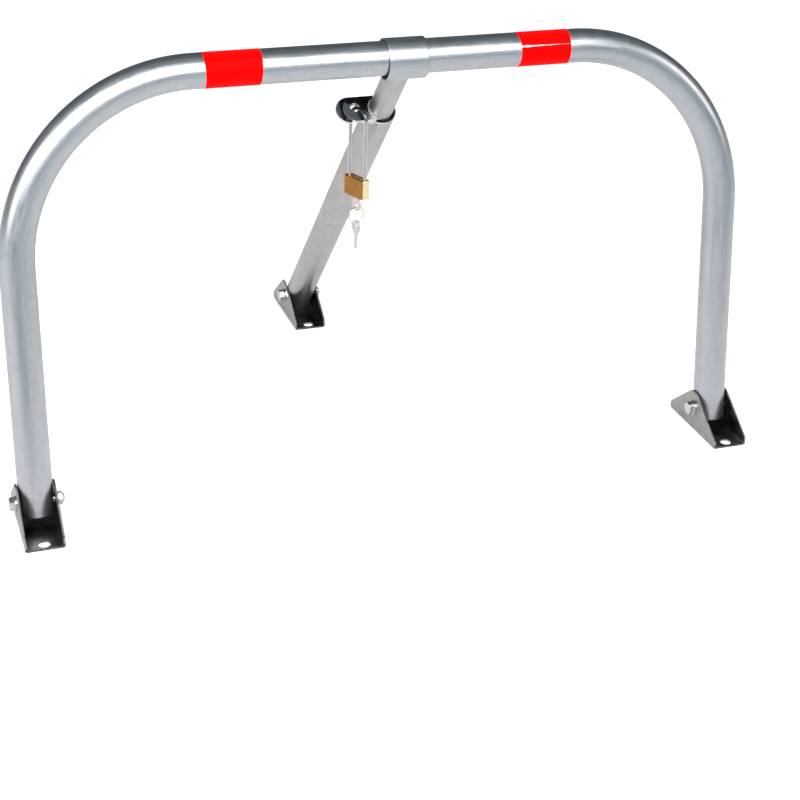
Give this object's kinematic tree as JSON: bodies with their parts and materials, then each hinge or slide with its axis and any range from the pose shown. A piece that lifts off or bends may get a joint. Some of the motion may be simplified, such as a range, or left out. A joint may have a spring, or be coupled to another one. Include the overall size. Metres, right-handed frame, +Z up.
{
  "type": "folding parking lock",
  "caption": "Fold-down tubular parking barrier: bent hoop on hinged feet, held up by a telescopic rear strut with lock ears and a padlock.",
  "frame": {"origin": "on the ground, midway between the anchor holes of the two hoop feet", "axes": "+X along the hoop's top bar, +Y from the hoop towards the strut's foot, +Z up"},
  "size_m": [0.815, 0.527, 0.4634],
  "materials": {
    "galvanised_tube": "satin galvanised steel tube",
    "bracket_steel": "zinc-plated pressed steel",
    "ear_steel": "zinc-plated flame-cut plate",
    "weld": "galvanised weld bead",
    "fastener": "bright zinc-plated",
    "red_reflective": "red reflective film",
    "brass": "brushed brass",
    "shackle_steel": "polished hardened steel",
    "key_nickel": "nickel-plated brass",
    "spring_steel": "bright spring wire"
  },
  "bodies": {
    "base": {"hoop_foot_left": "bracket_steel", "hoop_foot_right": "bracket_steel", "strut_foot": "bracket_steel", "pivot_bolts": "fastener", "pivot_nuts": "fastener", "pivot_washers": "fastener"},
    "hoop": {"hoop_tube": "galvanised_tube", "reflective_band_left": "red_reflective", "reflective_band_right": "red_reflective"},
    "inner_strut": {"bar_collar": "galvanised_tube", "inner_strut_tube": "galvanised_tube", "collar_weld": "weld", "upper_lock_ear": "ear_steel", "upper_ear_weld": "weld"},
    "outer_strut": {"outer_strut_tube": "galvanised_tube", "lower_lock_ear": "ear_steel", "lower_ear_weld": "weld"},
    "shackle": {"padlock_shackle": "shackle_steel"},
    "padlock": {"padlock_case": "brass", "heel_retaining_pin": "shackle_steel", "cylinder_retaining_pin": "shackle_steel", "driver_pins": "brass", "pin_springs": "spring_steel", "chamber_plugs": "brass"},
    "latch": {"padlock_latch": "shackle_steel"},
    "cylinder": {"padlock_cylinder": "brass", "key_pins": "brass"},
    "key": {"padlock_key": "key_nickel"},
    "ring": {"key_ring": "key_nickel"},
    "spare": {"spare_key": "key_nickel"}
  },
  "joints": [
    {"name": "hoop_fold", "type": "hinge", "parent": "base", "child": "hoop", "pos_m": [0, 0.046, 0.025], "axis": [1, 0, 0], "range_deg": [0, 97]},
    {"name": "collar_turn", "type": "hinge", "parent": "hoop", "child": "inner_strut", "pos_m": [0.015, 0.09743, 0.44385], "axis": [1, 0, 0], "range_deg": [-48.5, 0]},
    {"name": "strut_foot_turn", "type": "hinge", "parent": "base", "child": "outer_strut", "pos_m": [0.015, 0.468, 0.025], "axis": [1, 0, 0], "range_deg": [0, 48.5]},
    {"name": "padlock_swing", "type": "hinge", "parent": "inner_strut", "child": "shackle", "pos_m": [-0.01, 0.16193, 0.35918], "axis": [0.9272, 0.3746, 0], "range_deg": [0, 41.5]},
    {"name": "shackle_release", "type": "slide", "parent": "shackle", "child": "padlock", "axis": [0, 0, -1], "range_m": [0, 0.008]},
    {"name": "key_turn", "type": "hinge", "parent": "padlock", "child": "cylinder", "pos_m": [-0.01, 0.16193, 0.27418], "axis": [0, 0, 1], "range_deg": [-90, 0]},
    {"name": "latch_throw", "type": "slide", "parent": "padlock", "child": "latch", "axis": [-0.3746, 0.9272, 0], "range_m": [0, 0.0013]},
    {"name": "key_draw", "type": "slide", "parent": "cylinder", "child": "key", "axis": [0, 0, -1], "range_m": [0, 0.017]},
    {"name": "key_ring_swing", "type": "hinge", "parent": "key", "child": "ring", "pos_m": [-0.01, 0.16193, 0.26178], "axis": [0.9272, 0.3746, 0], "range_deg": [-45, 45]},
    {"name": "spare_key_swing", "type": "hinge", "parent": "ring", "child": "spare", "pos_m": [-0.01, 0.16193, 0.24178], "axis": [0.9272, 0.3746, 0], "range_deg": [-45, 45]}
  ],
  "couplings": [
    {"joint": "collar_turn", "follows": "hoop_fold", "ratio": -0.5},
    {"joint": "strut_foot_turn", "follows": "hoop_fold", "ratio": 0.5},
    {"joint": "padlock_swing", "follows": "hoop_fold", "ratio": 0.42783},
    {"joint": "latch_throw", "follows": "key_turn", "m_per_rad": -0.00082761}
  ]
}
